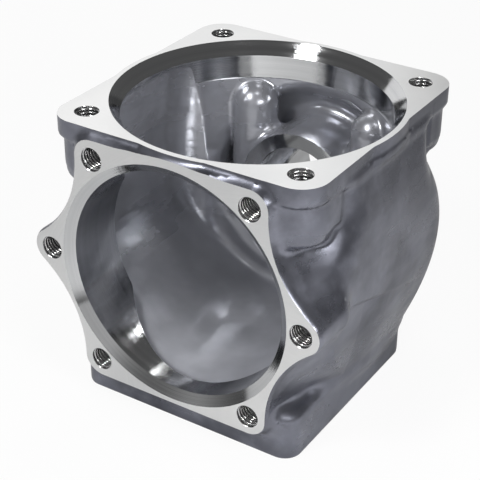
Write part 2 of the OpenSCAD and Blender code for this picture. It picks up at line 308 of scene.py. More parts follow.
def well(x, y, z):
    from_axis = np.hypot(x, y)
    rise = (z - FLOOR_HEIGHT) / (BLOCK_HEIGHT - REGISTER_DEPTH - FLOOR_HEIGHT)
    cone = from_axis - (CHAMBER_LOW + (CHAMBER_TOP - CHAMBER_LOW) * rise)
    bored = BLOCK_HEIGHT - REGISTER_DEPTH + OVERLAP
    cone = np.maximum(cone, np.minimum(from_axis - REGISTER_RADIUS + STOCK, z - bored))
    behind = join(y - CHAMBER_HALF, LEDGE_HEIGHT - z, LEDGE_FILLET)
    return trim(cone, behind, WELL_EDGE)


def pockets(x, y, z):
    sides = np.hypot(np.abs(x) + POCKET_CURVE - POCKET_HALF, z - WIDEST_HEIGHT) - POCKET_CURVE
    hollow = trim(sides, -POCKET_FRONT - y, POCKET_FRONT_EDGE)
    hollow = trim(hollow, y - POCKET_REAR, POCKET_REAR_EDGE)
    return trim(hollow, z - POCKET_ROOF, POCKET_ROOF_EDGE)


def chamber(x, y, z):
    floor = np.hypot(x, z - FLOOR_HEIGHT - FLOOR_CURVE) - FLOOR_CURVE
    floor = np.minimum(floor, FLOOR_HEIGHT + FLOOR_CURVE - z)
    hollow = join(well(x, y, z), pockets(x, y, z), POCKET_FILLET)
    return np.maximum(soften(hollow, floor, FLOOR_CREASE), z - BLOCK_HEIGHT)


on_axis, to_side = (0, 0, CRANK_HEIGHT), (1, 0, 0)
wall = reach(outside, on_axis, to_side) - reach(chamber, on_axis, to_side)
print("side wall at the crank axis:", round(wall, 1), "mm")

# %% [markdown]
# ## The dish, the boss and the bolt columns
#
# Behind the chamber the rear wall is dished round the boss of the bearing, and
# two round columns stand at its sides, with a web to the wall: they carry the
# rear bolts down to the thick metal. A column has a ball for its top, because a
# core can't leave a sharp end.

# %% The dish, the boss, the columns and the whole casting
DISH_RADIUS, DISH_DEPTH, DISH_EDGE = 42.5, 64.5, 16.0
BEARING_BOSS, BOSS_RIM, BOSS_BEHIND = 27.5, 0.5, 4
COLUMN_RADIUS, COLUMN_X, COLUMN_Y, COLUMN_TOP = 10.5, 30.5, 48.0, 112.0
WEB_LENGTH, WEB_SHARE, WEB_EDGE, WEB_FILLET = 11.0, 0.7, 4, 2
DISH_FILLET, CORE_RIM, COLUMN_FILLET, BEARING_FILLET = 4, 2, 2, 6


def dish(x, y, z):
    crank = np.hypot(x, z - CRANK_HEIGHT)
    return trim(crank - DISH_RADIUS, span(y, 0, DISH_DEPTH), DISH_EDGE)


def bearing_boss(x, y, z):
    crank = np.hypot(x, z - CRANK_HEIGHT)
    depth = span(y, CHAMBER_HALF - OVERLAP, REAR_REACH + BOSS_BEHIND)
    return trim(crank - BEARING_BOSS, depth, BOSS_RIM)


def columns(x, y, z):
    u, v = np.abs(x) - COLUMN_X, y - COLUMN_Y
    top = COLUMN_TOP - COLUMN_RADIUS
    pillar = np.hypot(u, v)
    pillar = np.where(z > top, np.hypot(pillar, z - top), pillar) - COLUMN_RADIUS
    angle = math.atan2(COLUMN_Y, COLUMN_X)
    along = u * math.cos(angle) + v * math.sin(angle)
    across = v * math.cos(angle) - u * math.sin(angle)
    web = np.maximum(span(along, 0, WEB_LENGTH), np.abs(across) - WEB_SHARE * COLUMN_RADIUS)
    web = trim(web, z - top, WEB_EDGE)
    low = CRANK_HEIGHT - DISH_RADIUS - OVERLAP
    return np.maximum(join(pillar, web, WEB_FILLET), low - z)


def casting(x, y, z):
    core = join(chamber(x, y, z), dish(x, y, z), DISH_FILLET)
    metal = carve(outside(x, y, z), core, CORE_RIM)
    metal = join(metal, np.maximum(columns(x, y, z), outside(x, y, z)), COLUMN_FILLET)
    return join(metal, bearing_boss(x, y, z), BEARING_FILLET)


in_column = (COLUMN_X, COLUMN_Y, CRANK_HEIGHT)
print("column:", reach(columns, in_column, (0, 0, 1)), "mm from the crank axis to its top")

# %% [markdown]
# ## From field to mesh: where the surface lies
#
# Surface nets turn the field into a mesh. The box is filled with small cells,
# and wherever an edge of a cell runs from inside to outside, the surface crosses
# it. Marching cubes would do it too, with twice the faces and many slivers.


# %% Find the crossings
def crossings(value, grid, pitch, axis):
    """Along one axis: which grid edges cross the surface, where, and which start inside."""
    first, second = [slice(None)] * 3, [slice(None)] * 3
    first[axis], second[axis] = slice(None, -1), slice(1, None)
    a, b = value[tuple(first)], value[tuple(second)]
    crossed = (a < 0) != (b < 0)
    share = np.where(crossed, a / np.where(crossed, a - b, 1), 0)
    place = np.stack([g[tuple(first)] for g in grid], axis=-1).astype(float)
    place[..., axis] += share * pitch
    return crossed, place * crossed[..., None], a < 0


def cells_round(axis, cells):
    """The four cells round every grid edge of one axis, as four cuts of an array."""
    one, two = [i for i in range(3) if i != axis]
    for i in (0, 1):
        for j in (0, 1):
            part = [slice(None)] * 3
            part[one], part[two] = slice(i, i + cells[one]), slice(j, j + cells[two])
            yield tuple(part)


print("each grid edge has", len(list(cells_round(0, (2, 2, 2)))), "cells round it")

# %% [markdown]
# ## From field to mesh: one vertex for each cell
#
# Each cell that the surface crosses gets one vertex, in the middle of its
# crossings. Each crossed edge then becomes a quad between the four cells round
# it, turned so that its normal points out of the metal.


# %% Surface nets
def quads_across(axis, crossed, starts_inside, number):
    """The quad that joins the four cells round each crossed edge."""
    one, two = [i for i in range(3) if i != axis]
    at = np.argwhere(crossed)
    inner = (at[:, one] > 0) & (at[:, two] > 0)
    inner &= (at[:, one] < number.shape[one]) & (at[:, two] < number.shape[two])
    at = at[inner]
    corners = []
    for i, j in ((1, 1), (0, 1), (0, 0), (1, 0)):
        cell = at.copy()
        cell[:, one] -= i
        cell[:, two] -= j
        corners.append(number[tuple(cell.T)])
    quad = np.stack(corners, axis=1)
    turned = starts_inside[tuple(at.T)] == (axis == 1)
    quad[turned] = quad[turned][:, ::-1]
    return quad


def surface_nets(field, low, high, pitch):
    lines = [np.arange(a, b + pitch, pitch) for a, b in zip(low, high)]
    x, y, z = np.meshgrid(*lines, indexing="ij", sparse=True)
    value = field(x, y, z)
    grid = [np.broadcast_to(a, value.shape) for a in (x, y, z)]
    found = [crossings(value, grid, pitch, axis) for axis in range(3)]
    cells = tuple(n - 1 for n in value.shape)
    total, count = np.zeros((*cells, 3)), np.zeros(cells)
    for axis, (crossed, place, _) in enumerate(found):
        for part in cells_round(axis, cells):
            total += place[part]
            count += crossed[part]
    used = count > 0
    number = np.full(cells, -1)
    number[used] = np.arange(used.sum())
    quads = [quads_across(axis, crossed, starts_inside, number)
             for axis, (crossed, _, starts_inside) in enumerate(found)]
    return total[used] / count[used][:, None], np.concatenate(quads)


CELL = 1.4
GRID_LOW, GRID_HIGH = (-72.3, -70.3, -4.9), (72.3, 75.3, 134.9)
points, quads = surface_nets(casting, GRID_LOW, GRID_HIGH, CELL)
print("casting:", len(points), "vertices,", len(quads), "quads")

# %% [markdown]
# ## From field to mesh: onto the true surface
#
# The vertices of a surface net lie a little unevenly, and a little off the
# surface. Two rounds of smoothing even them out. After each, every vertex is
# pushed along the field's slope until it lies on the surface again, so a cell
# of 1.4 mm still gives a true fillet. A subdivision modifier would only guess.

# %% Settle the vertices
EVEN_ROUNDS, PUSHES, LONGEST_PUSH, FLATTEST, SLOPE_STEP = 2, 3, 0.5, 0.2, 0.02


def slope(field, points):
    """The field's gradient at each point, by central differences."""
    out = np.empty_like(points)
    for axis in range(3):
        ahead, back = points.copy(), points.copy()
        ahead[:, axis] += SLOPE_STEP
        back[:, axis] -= SLOPE_STEP
        out[:, axis] = (field(*ahead.T) - field(*back.T)) / (2 * SLOPE_STEP)
    return out


def even_out(points, ends):
    """Each vertex goes half of the way to the middle of its neighbours."""
    total, count = np.zeros_like(points), np.zeros(len(points))
    for a, b in ((0, 1), (1, 0)):
        np.add.at(total, ends[:, a], points[ends[:, b]])
        np.add.at(count, ends[:, a], 1)
    return 0.5 * points + 0.5 * total / count[:, None]


def onto_surface(field, points):
    for _ in range(PUSHES):
        way = slope(field, points)
        size = np.maximum((way * way).sum(axis=1), FLATTEST)
        push = np.clip(field(*points.T), -LONGEST_PUSH, LONGEST_PUSH)
        points = points - push[:, None] * way / size[:, None]
    return points


ends = np.concatenate([quads[:, [i, (i + 1) % 4]] for i in range(4)])
for _ in range(EVEN_ROUNDS):
    points = onto_surface(casting, even_out(points, ends))
points = onto_surface(casting, points)
off = np.abs(casting(*points.T)) > 0.01
print(int(off.sum()), "of", len(points), "vertices lie more than 0.01 mm off the surface")

# %% [markdown]
# ## The casting as an object
#
# From here on the casting is a Blender object. Its origin is the frame's, and
# its place is in its mesh, as for every node.


# %% Make the casting's mesh
def into_scene(name, data):
    made = bpy.data.objects.new(name, data)
    bpy.context.scene.collection.objects.link(made)
    return made


def new_object(name, points_mm, faces):
    mesh = bpy.data.meshes.new(name)
    mesh.from_pydata((points_mm * 0.001).tolist(), [], [list(map(int, f)) for f in faces])
    mesh.update()
    return into_scene(name, mesh)


block = new_object("block_casting", points, quads)
print("block_casting:", [round(1000 * v, 1) for v in block.dimensions], "mm, with its stock")

# %% [markdown]
# ## The tools of the machine shop
#
# The machine shop cuts the casting with a few plain tools: a face mill for the
# top, front and sole, boring bars for the round seats, and drills. Here each
# round tool is a closed solid, turned from its profile as on a lathe.

# %% Turn a tool
BAR_SIDES, DRILL_SIDES = 256, 40


def turned_form(profile, segments):
    """Points and faces turned about the third axis: profile is (radius, distance) pairs."""
    angle = np.linspace(0, 2 * math.pi, segments, endpoint=False)
    points, rings, faces = [], [], []
    for radius, along in profile:
        start = len(points)
        if radius == 0:
            points.append((0, 0, along))
            rings.append([start] * segments)
        else:
            points.extend((radius * math.cos(t), radius * math.sin(t), along) for t in angle)
            rings.append(list(range(start, start + segments)))
    for a, b in zip(rings, rings[1:]):
        for i in range(segments):
            j = (i + 1) % segments
            face = list(dict.fromkeys((a[i], a[j], b[j], b[i])))
            if len(face) > 2:
                faces.append(face)
    return np.array(points, float), faces


def lathe(name, profile, centres, axis, segments=BAR_SIDES):
    """A closed tool at each centre, turned about Z or Y."""
    form, ring_faces = turned_form(profile, segments)
    form = form[:, [0, 1, 2] if axis == "Z" else [0, 2, 1]]
    places = np.concatenate([form + centre for centre in centres])
    faces = [[len(form) * i + v for v in face] for i in range(len(centres)) for face in ring_faces]
    tool = new_object(name, places, faces)
    made = bmesh.new()
    made.from_mesh(tool.data)
    bmesh.ops.recalc_face_normals(made, faces=made.faces)
    made.to_mesh(tool.data)
    made.free()
    return tool


print("boring bars have", BAR_SIDES, "sides, and drills", DRILL_SIDES)

# %% [markdown]
# ## Milling
#
# A cut is a Boolean, so every machined edge is as crisp as on the real part. The
# face mill takes the stock off three sides at once: what it leaves is what the
# casting shares with a box.


# %% Mill the three flat faces
def apply_modifiers(thing):
    evaluated = thing.evaluated_get(bpy.context.evaluated_depsgraph_get())
    mesh = bpy.data.meshes.new_from_object(evaluated)
    thing.modifiers.clear()
    thing.data = mesh


def cut(thing, tool, operation="DIFFERENCE"):
    step = thing.modifiers.new("cut", "BOOLEAN")
    step.operation, step.solver, step.object = operation, "MANIFOLD", tool
    before = len(thing.data.polygons)
    apply_modifiers(thing)
    print(tool.name, before, "->", len(thing.data.polygons), "faces")
    bpy.data.objects.remove(tool)


MILL_REACH = 90.0  # past the sides and the rear, where nothing is milled
box_ends = (-MILL_REACH, -FRONT_REACH, 0), (MILL_REACH, MILL_REACH, BLOCK_HEIGHT)
box = [[box_ends[(i >> a) & 1][a] for a in range(3)] for i in range(8)]
box_faces = [(0, 2, 3, 1), (4, 5, 7, 6), (0, 1, 5, 4), (2, 6, 7, 3), (0, 4, 6, 2), (1, 3, 7, 5)]
cut(block, new_object("face_mill", np.array(box, float), box_faces), "INTERSECT")

# %% [markdown]
# ## Boring
#
# Three bars bore the round seats: from the top the register for the cylinder,
# with its tapered mouth, from the front the bore for the bearing cover, with its
# chamfer, and on the same axis the bearing seat with the shaft hole behind it.
# The last bar also faces the boss. A profile runs from the axis back to the axis.

# %% Bore the seats
MOUTH_RADIUS, LEAD_IN = 61.4, 5.75
FRONT_BORE, FRONT_CHAMFER, FRONT_CHAMFER_DEPTH = 50.3, 4.0, 3.2
SEAT_RADIUS, SEAT_DEPTH, SHAFT_RADIUS, PAST_DOME = 21.0, 16.0, 15.0, 80

register_floor, mouth = BLOCK_HEIGHT - REGISTER_DEPTH, BLOCK_HEIGHT - LEAD_IN
slant = (MOUTH_RADIUS - REGISTER_RADIUS) / LEAD_IN
cut(block, lathe("top_boring_bar", [
    (0, register_floor), (REGISTER_RADIUS, register_floor), (REGISTER_RADIUS, mouth),
    (MOUTH_RADIUS + slant * OVERLAP, BLOCK_HEIGHT + OVERLAP), (0, BLOCK_HEIGHT + OVERLAP),
], [(0, 0, 0)], "Z"))

chamfer_end, flare = FRONT_CHAMFER_DEPTH - FRONT_REACH, FRONT_CHAMFER / FRONT_CHAMFER_DEPTH
cut(block, lathe("front_boring_bar", [
    (0, -FRONT_REACH - OVERLAP),
    (FRONT_BORE + FRONT_CHAMFER + flare * OVERLAP, -FRONT_REACH - OVERLAP),
    (FRONT_BORE, chamfer_end), (FRONT_BORE, -CHAMBER_HALF), (0, -CHAMBER_HALF),
], [(0, 0, CRANK_HEIGHT)], "Y"))

seat_floor = CHAMBER_HALF + SEAT_DEPTH
cut(block, lathe("bearing_boring_bar", [
    (0, 0), (BEARING_BOSS + OVERLAP, 0), (BEARING_BOSS + OVERLAP, CHAMBER_HALF),
    (SEAT_RADIUS, CHAMBER_HALF), (SEAT_RADIUS, seat_floor),
    (SHAFT_RADIUS, seat_floor), (SHAFT_RADIUS, PAST_DOME), (0, PAST_DOME),
], [(0, 0, CRANK_HEIGHT)], "Y"))

# %% [markdown]
# ## Drilling
#
# Ten holes take the screws: four for the cylinder and six for the front cover.
# Each has a small sink at its mouth and the cone of the drill's point at its
# end. All the drills of one side are one mesh, so one Boolean cuts them.

# %% Drill the bolt holes
BOLT_HALF, TOP_HOLE_DEPTH, FRONT_HOLE_DEPTH = 50.0, 24.0, 20.0
HOLE_MOUTH, THREAD_ROOT, DRILL_POINT = 5.2, 5.0, 2.5

top_bolts = [(x, y, BLOCK_HEIGHT) for x in (-BOLT_HALF, BOLT_HALF) for y in (-BOLT_HALF, BOLT_HALF)]
half_ring = (SIDE_BOLT, 0), (CORNER_BOLT_X, CORNER_BOLT_Z), (CORNER_BOLT_X, -CORNER_BOLT_Z)
front_bolts = [
    (side * across, -FRONT_REACH, CRANK_HEIGHT + up) for side in (-1, 1) for across, up in half_ring
]
sink = HOLE_MOUTH - THREAD_ROOT
for name, depth, centres, axis, inward in (
    ("top_drill", TOP_HOLE_DEPTH, top_bolts, "Z", -1),
    ("front_drill", FRONT_HOLE_DEPTH, front_bolts, "Y", 1),
):
    profile = [
        (0, -OVERLAP), (HOLE_MOUTH + OVERLAP, -OVERLAP), (THREAD_ROOT, sink),
        (THREAD_ROOT, depth), (0, depth + DRILL_POINT),
    ]
    drill = lathe(name, [(r, inward * t) for r, t in profile], centres, axis, DRILL_SIDES)
    cut(block, drill)

# %% [markdown]
# ## Which face was cut by what
#
# A finish belongs to the tool that made it: the skin of the mould, the face
# mill, the boring bar or the drill. The cuts lie on exact planes, cylinders and
# cones, so each face is told from its place. Painting by hand would miss slivers
# at the rims. The same test gives the exact normal of every corner, so that the
# reflections stay smooth, whatever triangles the Boolean left.

# %% The planes, cylinders and cones of the cuts
CAST, MILLED, TURNED_UP, TURNED_ALONG, DRILLED, CORED = range(6)
NEAR, ALIKE, STRAIGHT = 0.03, 0.9, 0.99


def round_about(points, centre, axis):
    """The radius about an axis, and the way back to it."""
    out = points - centre
    out[:, axis] = 0
    radius = np.linalg.norm(out, axis=1)
    return radius, -out / np.maximum(radius, 1e-9)[:, None]


def unit(ways):
    return ways / np.linalg.norm(ways, axis=1)[:, None]


def milled_cuts(points, normals):
    _, y, z = points.T
    yield abs(z - BLOCK_HEIGHT) < NEAR, (0, 0, 1)
    yield abs(z) < NEAR, (0, 0, -1)
    yield abs(y + FRONT_REACH) < NEAR, (0, -1, 0)


def turned_up_cuts(points, normals):
    z = points[:, 2]
    radius, inward = round_about(points, (0, 0, 0), 2)
    yield (abs(radius - REGISTER_RADIUS) < NEAR) & (z > register_floor - NEAR), inward
    taper = abs(radius - REGISTER_RADIUS - (z - mouth) * slant) < NEAR
    yield taper & (z > mouth - NEAR), unit(inward + (0, 0, slant))


def turned_along_cuts(points, normals):
    y = points[:, 1]
    radius, inward = round_about(points, (0, 0, CRANK_HEIGHT), 1)
    yield (abs(radius - FRONT_BORE) < NEAR) & (y < -CHAMBER_HALF + NEAR), inward
    chamfer = abs(radius - FRONT_BORE - (chamfer_end - y) * flare) < NEAR
    yield chamfer & (y < chamfer_end + NEAR), unit(inward - (0, flare, 0))
    yield (abs(radius - SEAT_RADIUS) < NEAR) & (y > 0) & (y < seat_floor + NEAR), inward
    yield abs(y - seat_floor) < NEAR, (0, -1, 0)
    faced = (radius < BEARING_BOSS + BOSS_RIM) & (normals[:, 1] < -STRAIGHT)
    yield faced & (abs(y - CHAMBER_HALF) < NEAR), (0, -1, 0)
    yield (abs(radius - SHAFT_RADIUS) < NEAR) & (y > CHAMBER_HALF), inward


CUTS = {MILLED: milled_cuts, TURNED_UP: turned_up_cuts, TURNED_ALONG: turned_along_cuts}
print("a face within", NEAR, "mm of a cut belongs to it")

# %% [markdown]
# ## The finish of a face and the normal of a corner
#
# Each point takes the first cut that it lies on and that faces its way. What
# lies close round a bolt is the drill's. All the rest is the casting's skin.


# %% Tell the finish from the place
HOLE_MARGIN, HOLE_END = 0.3, 4


def machined(points, normals):
    """For each point and rough normal: its finish, and the exact normal of that cut."""
    finish, exact = np.full(len(points), CAST), normals.copy()
    for kind, cuts in CUTS.items():
        for found, normal in cuts(points, normals):
            found = found & ((normal * normals).sum(axis=1) > ALIKE) & (finish == CAST)
            finish[found] = kind
            exact[found] = np.broadcast_to(normal, points.shape)[found]
    for centre in top_bolts + front_bolts:
        axis = 2 if centre in top_bolts else 1
        radius, _ = round_about(points, centre, axis)
        close = radius < HOLE_MOUTH + HOLE_MARGIN
        close &= np.abs(points[:, axis] - centre[axis]) < TOP_HOLE_DEPTH + HOLE_END
        finish[close & (finish == CAST)] = DRILLED
    return finish, exact


def read_mesh(mesh):
    """Places and centres in mm, normals, and for each corner its vertex and its face."""
    corners = np.empty(len(mesh.loops), np.int64)
    mesh.loops.foreach_get("vertex_index", corners)
    places = np.empty(3 * len(mesh.vertices))
    mesh.vertices.foreach_get("co", places)
    centres, normals = (np.empty(3 * len(mesh.polygons)) for _ in range(2))
    mesh.polygons.foreach_get("center", centres)
    mesh.polygons.foreach_get("normal", normals)
    starts = np.empty(len(mesh.polygons), np.int64)
    mesh.polygons.foreach_get("loop_start", starts)
    owner = np.searchsorted(starts, np.arange(len(mesh.loops)), side="right") - 1
    places, centres = 1000 * places.reshape(-1, 3), 1000 * centres.reshape(-1, 3)
    return places, centres, normals.reshape(-1, 3), corners, owner


places, centres, normals, corners, owner = read_mesh(block.data)
finish, _ = machined(centres, normals)
print(int((finish != CAST).sum()), "faces are machined, out of", len(finish))

# %% [markdown]
# ## Exact normals
#
# A corner on the skin takes its normal from the field's slope, unless its face
# looks another way, and a corner on a cut takes the cut's own. Smoothing by
# angle would only guess them. The chamber's walls are skin too, but a sand core
# made them: they lie more than a millimetre inside the outer form.

# %% Give every corner its normal
FACES_AWAY, CORE_DEPTH = 0.5, 1

block.data.polygons.foreach_set("use_smooth", np.ones(len(finish), bool))
grown = slope(casting, places)
grown /= np.maximum(np.linalg.norm(grown, axis=1), 1e-9)[:, None]
corner_normal = grown[corners]
away = (corner_normal * normals[owner]).sum(axis=1) < FACES_AWAY
corner_normal[away] = normals[owner][away]
on_cut = finish[owner] != CAST
_, corner_normal[on_cut] = machined(places[corners[on_cut]], normals[owner][on_cut])
block.data.normals_split_custom_set(corner_normal.tolist())
finish[(finish == CAST) & (outside(*centres.T) < -CORE_DEPTH)] = CORED
for kind, name in enumerate(("cast", "milled", "turned up", "turned along", "drilled", "cored")):
    print(name, int((finish == kind).sum()), "faces")

# %% [markdown]
# ## Threads
#
# Ten holes carry the same M10 thread. A thread is one profile carried along one
# helix, which is just what Geometry Nodes do well: a spiral, a small trapezium
# swept along it, and one copy at each hole. The holes are cut at the thread's
# root, and this ridge stands on their walls. A bump would leave a smooth rim.

# %% The thread tree
THREAD_INPUTS = {
    "Root radius": "Float", "Ridge height": "Float", "Pitch": "Float", "Turns": "Float",
    "Lean": "Rotation", "Finish": "Material",
}
HELIX_STEPS, RIDGE_FOOT, RIDGE_TIP = 28, 0.86, 0.16  # steps a turn, and shares of the pitch


def thread_tree():
    tree = bpy.data.node_groups.new("tapped_thread", "GeometryNodeTree")
    face = tree.interface
    face.new_socket("Geometry", in_out="INPUT", socket_type="NodeSocketGeometry")
    for name, kind in THREAD_INPUTS.items():
        face.new_socket(name, in_out="INPUT", socket_type="NodeSocket" + kind)
    face.new_socket("Geometry", in_out="OUTPUT", socket_type="NodeSocketGeometry")

    def step(kind, sockets, **settings):
        made = tree.nodes.new(kind)
        for name, value in settings.items():
            setattr(made, name, value)
        for name, source in sockets.items():
            if isinstance(source, bpy.types.NodeSocket):
                tree.links.new(source, made.inputs[name])
            else:
                made.inputs[name].default_value = source
        return made.outputs[0]

    def times(a, b):
        return step("ShaderNodeMath", {0: a, 1: b}, operation="MULTIPLY")

    given = tree.nodes.new("NodeGroupInput").outputs
    helix = step("GeometryNodeCurveSpiral", {
        "Resolution": HELIX_STEPS, "Rotations": given["Turns"],
        "Start Radius": given["Root radius"], "End Radius": given["Root radius"],
        "Height": times(given["Pitch"], given["Turns"]),
    })
    helix = step("GeometryNodeSetCurveNormal", {"Curve": helix}, mode="Z_UP")
    ridge = step("GeometryNodeCurvePrimitiveQuadrilateral", {
        "Height": given["Ridge height"], "Bottom Width": times(given["Pitch"], RIDGE_FOOT),
        "Top Width": times(given["Pitch"], RIDGE_TIP), "Offset": 0.0,
    }, mode="TRAPEZOID")
    raised = step("ShaderNodeCombineXYZ", {"Y": times(given["Ridge height"], 0.5)})
    ridge = step("GeometryNodeTransform", {"Geometry": ridge, "Translation": raised})
    thread = step("GeometryNodeCurveToMesh", {
        "Curve": helix, "Profile Curve": ridge, "Fill Caps": True,
    })
    copies = step("GeometryNodeInstanceOnPoints", {
        "Points": given["Geometry"], "Instance": thread, "Rotation": given["Lean"],
    })
    real = step("GeometryNodeRealizeInstances", {"Geometry": copies})
    dressed = step("GeometryNodeSetMaterial", {"Geometry": real, "Material": given["Finish"]})
    tree.links.new(dressed, tree.nodes.new("NodeGroupOutput").inputs[0])
    return tree


tree = thread_tree()
print(tree.name, "has", len(tree.nodes), "nodes")

# %% [markdown]
# ## Finishes
#
# One metal, six finishes: two skins from the mould and its core, and four from
# the tools. All of it is shader maths on Object coordinates, so no picture is
# needed and every pattern keeps its real size on the part. The maths is written
# as plain sums: one small class wraps a socket and knows +, - and *.


# %% Shader maths as plain sums
class Wire:
    """A shader socket that can be used in sums."""

    def __init__(self, tree, socket):
        self.tree, self.socket = tree, socket

    def node(self, kind, settings=None, sockets=None, output=0):
        """Any node of this tree: its settings first, then the values or links of its sockets."""
        made = self.tree.nodes.new(kind)
        for name, value in (settings or {}).items():
            setattr(made, name, value)
        for name, value in (sockets or {}).items():
            if isinstance(value, Wire):
                self.tree.links.new(value.socket, made.inputs[name])
            else:
                made.inputs[name].default_value = value
        return Wire(self.tree, made.outputs[output])

    def math(self, operation, *terms):
        return self.node("ShaderNodeMath", {"operation": operation}, dict(enumerate(terms)))

    def __add__(self, other):
        return self.math("ADD", self, other)

    def __sub__(self, other):
        return self.math("SUBTRACT", self, other)

    def __rsub__(self, other):
        return self.math("SUBTRACT", other, self)

    def __mul__(self, other):
        return self.math("MULTIPLY", self, other)

    __radd__, __rmul__ = __add__, __mul__

    def between(self, start, end):
        """0 at start, 1 at end, smooth in between. It falls where start is the larger one."""
        return self.node("ShaderNodeMapRange", {"interpolation_type": "SMOOTHSTEP"},
                         {"Value": self, "From Min": start, "From Max": end})

    def part(self, axis):
        return self.node("ShaderNodeSeparateXYZ", {}, {"Vector": self}, axis)

    def noise(self, scale, detail=2.0, roughness=0.5, stretch=(1, 1, 1), shift=(0, 0, 0)):
        """Noise in the part's own space. scale is in features per metre."""
        place = self.node("ShaderNodeMapping", {}, {
            "Vector": self, "Scale": stretch, "Location": shift,
        })
        return self.node("ShaderNodeTexNoise", {}, {
            "Vector": place, "Scale": scale, "Detail": detail, "Roughness": roughness,
        })

    def lines(self, scale, detail):
        """Noise along one value only, which draws lines across it."""
        return self.node("ShaderNodeTexNoise", {"noise_dimensions": "1D"},
                         {"W": self, "Scale": scale, "Detail": detail})


print("a wire knows", ", ".join(n for n in vars(Wire) if not n.startswith("__")))

# %% [markdown]
# ## A metal material
#
# Each finish says two shades, a tone that mixes them, a roughness and a few
# heights. A height becomes a bump, with its strength and its depth in metres.
# The bumps are chained, so that waves can carry grain.


# %% Make a metal
def nodes_of(owner, kind):
    """The node tree of a material or a world, and its node of one kind."""
    owner.use_nodes = True
    return owner.node_tree, next(n for n in owner.node_tree.nodes if n.type == kind)


def finish_named(name, build, metallic=1.0):
    made = bpy.data.materials.new(name)
    tree, shader = nodes_of(made, "BSDF_PRINCIPLED")
    place = Wire(tree, tree.nodes.new("ShaderNodeTexCoord").outputs["Object"])
    (dark, light), tone, roughness, bumps = build(place)
    colour = place.node("ShaderNodeMix", {"data_type": "RGBA"}, {
        0: tone, 6: (*dark, 1), 7: (*light, 1),
    }, 2)
    tree.links.new(colour.socket, shader.inputs["Base Color"])
    tree.links.new(roughness.socket, shader.inputs["Roughness"])
    shader.inputs["Metallic"].default_value = metallic
    under = {}
    for height, strength, depth in bumps:
        sockets = {"Height": height, "Strength": strength, "Distance": depth, **under}
        under = {"Normal": place.node("ShaderNodeBump", {}, sockets)}
    tree.links.new(under["Normal"].socket, shader.inputs["Normal"])
    print(name, "has", len(tree.nodes), "nodes")
    return made


# %% [markdown]
# ## The cast skin
#
# Outside, the mould leaves a dark, glossy skin with soft blotches, shallow level
# waves where the metal rose, and a fine grain. Towards the upper rear the skin is
# painted darker still: painted shade. A picture of cast metal would stretch somewhere.
# Noise in the part's own space doesn't.

# %% The cast skin
SKIN_SHADES = (0.097, 0.1, 0.12), (0.27, 0.278, 0.326)


def cast_skin(place):
    clouds = place.noise(28, 3, 0.55)
    stains = place.noise(75, 4, 0.6, shift=(3, 1, 2)).between(0.45, 0.75)
    flow = place.noise(22, 3, 0.5, stretch=(1, 1, 3.5), shift=(1, 5, 0))
    grain = place.noise(1500, 2, 0.5)
    # painted shade: the upper rear of the outer skin is darkened
    painted_shade = place.part(1).between(-0.015, 0.03) * place.part(2).between(0.06, 0.1)
    tone = (clouds.between(0.3, 0.7) * 0.7 + stains * 0.3) * (1 - 0.8 * painted_shade)
    roughness = 0.26 + 0.12 * flow.between(0.35, 0.7) + 0.06 * stains
    bumps = [(clouds, 0.15, 0.003), (flow, 0.12, 0.003), (grain, 0.08, 0.0002)]
    return SKIN_SHADES, tone, roughness, bumps


cast = finish_named("cast_skin", cast_skin, 0.85)

# %% [markdown]
# ## The cored skin
#
# The chamber's skin is glossier, with waves of its own, and paler: the paler
# shades are painted light that lifts the chamber out of its own shade. Low in the
# chamber the skin is duller and lighter. It is the same recipe with other numbers,
# and one mask by height.

# %% The cored skin
# painted light: the chamber's shades are paler than the outer skin's, to lift its shade
CORE_PAINTED_LIGHT_SHADES = (0.297, 0.303, 0.332), (0.477, 0.486, 0.528)


def cored_skin(place):
    clouds = place.noise(32, 3, 0.55)
    flow = place.noise(40, 3, 0.5, stretch=(1, 1, 2.5), shift=(1, 5, 0))
    grain = place.noise(1200, 2, 0.5)
    settled = place.part(2).between(0.055, 0.03)
    tone = 0.65 * clouds.between(0.3, 0.7) + 0.35 * settled
    roughness = 0.17 + 0.14 * flow.between(0.35, 0.7) + 0.25 * settled
    bumps = [(clouds, 0.15, 0.003), (flow, 0.2, 0.003), (grain, 0.06, 0.0002)]
    return CORE_PAINTED_LIGHT_SHADES, tone, roughness, bumps


cored = finish_named("cored_skin", cored_skin, 0.6)

# %% [markdown]
# ## The milled faces
#
# A face mill sweeps wide arcs as it passes. The distance from the middle of its
# sweep, far outside the part, is the same all along an arc, so noise on that
# distance alone draws the lines. They are faint: the face is pale and even.

# %% The milled faces
MILLED_SHADES, SWEEP_CENTRE = ((0.60, 0.605, 0.61), (0.76, 0.76, 0.755)), (0.05, 0.21, 0.02)


def milled_face(place):
    sweep = place.node("ShaderNodeVectorMath", {"operation": "DISTANCE"},
                       {0: place, 1: SWEEP_CENTRE}, 1)
    lines, clouds = sweep.lines(2600, 2), place.noise(14, 2, 0.5)
    tone = clouds.between(0.25, 0.75) * 0.7 + lines * 0.3
    roughness = 0.27 + 0.1 * clouds.between(0.3, 0.7)
    return MILLED_SHADES, tone, roughness, [(lines, 0.08, 0.00015)]


milled = finish_named("milled_face", milled_face)

# %% [markdown]
# ## The turned bores
#
# A boring bar leaves a near-mirror wall with fine rings. A ring stays at one
# place along the axis of turning, so noise on that coordinate alone draws it.
# There are two axes, so there are two materials from one recipe.

# %% The turned bores
TURNED_SHADES = (0.42, 0.425, 0.435), (0.66, 0.665, 0.67)


def turned_bore(axis):
    def build(place):
        along = place.part(axis)
        rings, bands = along.lines(3200, 3), along.lines(320, 1)
        tone = rings * 0.5 + bands * 0.5
        roughness = 0.06 + 0.06 * bands.between(0.3, 0.7)
        return TURNED_SHADES, tone, roughness, [(rings, 0.12, 0.0001)]
    return build


turned_up = finish_named("turned_about_cylinder", turned_bore(2))
turned_along = finish_named("turned_about_crank", turned_bore(1))

